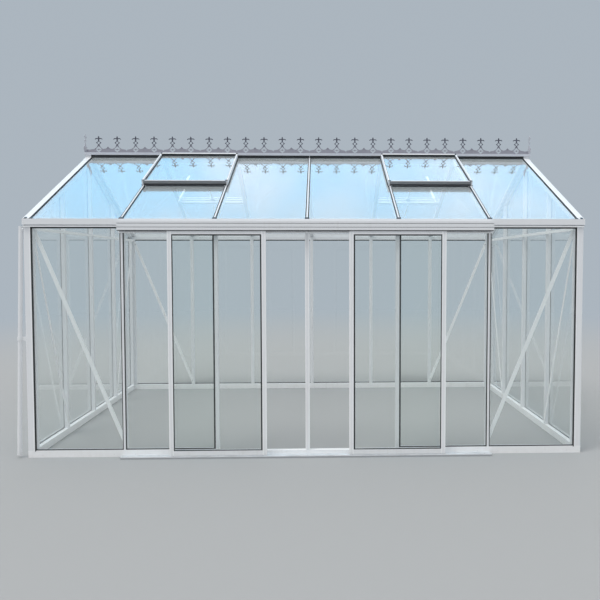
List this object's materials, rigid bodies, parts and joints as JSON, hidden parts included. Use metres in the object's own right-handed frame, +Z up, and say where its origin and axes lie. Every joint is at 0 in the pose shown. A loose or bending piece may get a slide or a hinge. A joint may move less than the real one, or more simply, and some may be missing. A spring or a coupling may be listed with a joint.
{
  "type": "greenhouse",
  "caption": "Glazed aluminium greenhouse with a gable roof, roof vents, ridge cresting, gutters, downpipes and sliding glass doors hung from a header track.",
  "frame": {"origin": "middle of the footprint at ground level, straight under the ridge", "axes": "+X along the ridge and the front wall towards the right gable, +Y from the door wall to the rear wall, +Z up from the ground"},
  "size_m": [4.6828, 3.122, 2.87],
  "materials": {
    "white_aluminium": "satin white powder coat",
    "glass": "clear toughened glass",
    "cresting_metal": "matt light grey paint",
    "bare_aluminium": "mill finish",
    "hanger_steel": "zinc plated"
  },
  "bodies": {
    "greenhouse": {"apex_plates": "white_aluminium", "front_sill": "white_aluminium", "rear_sill": "white_aluminium", "left_sill": "white_aluminium", "right_sill": "white_aluminium", "corner_posts": "white_aluminium", "front_wall_posts": "white_aluminium", "rear_wall_posts": "white_aluminium", "left_gable_posts": "white_aluminium", "right_gable_posts": "white_aluminium", "front_gutter": "white_aluminium", "rear_gutter": "white_aluminium", "left_gable_rail": "white_aluminium", "right_gable_rail": "white_aluminium", "left_end_rafters": "white_aluminium", "right_end_rafters": "white_aluminium", "front_rafters": "white_aluminium", "rear_rafters": "white_aluminium", "ridge_beam": "white_aluminium", "vent_stiles": "white_aluminium", "vent_rails": "white_aluminium", "vent_bars": "white_aluminium", "door_header_track": "white_aluminium", "wall_braces": "white_aluminium", "gable_braces": "white_aluminium", "downpipes": "white_aluminium", "front_wall_glass": "glass", "rear_wall_glass": "glass", "left_gable_glass": "glass", "right_gable_glass": "glass", "front_roof_glass": "glass", "rear_roof_glass": "glass", "vent_glass": "glass", "ridge_cresting": "cresting_metal", "ridge_finials": "cresting_metal", "door_threshold": "bare_aluminium"},
    "left_door": {"left_door_stiles": "white_aluminium", "left_door_rails": "white_aluminium", "left_door_glass": "glass", "left_door_hangers": "hanger_steel"},
    "right_door": {"right_door_stiles": "white_aluminium", "right_door_rails": "white_aluminium", "right_door_glass": "glass", "right_door_hangers": "hanger_steel"}
  },
  "joints": [
    {"name": "left_door_slide", "type": "slide", "parent": "greenhouse", "child": "left_door", "axis": [1, 0, 0], "range_m": [-0.383, 0.324]},
    {"name": "right_door_slide", "type": "slide", "parent": "greenhouse", "child": "right_door", "axis": [1, 0, 0], "range_m": [-0.334, 0.373]}
  ]
}
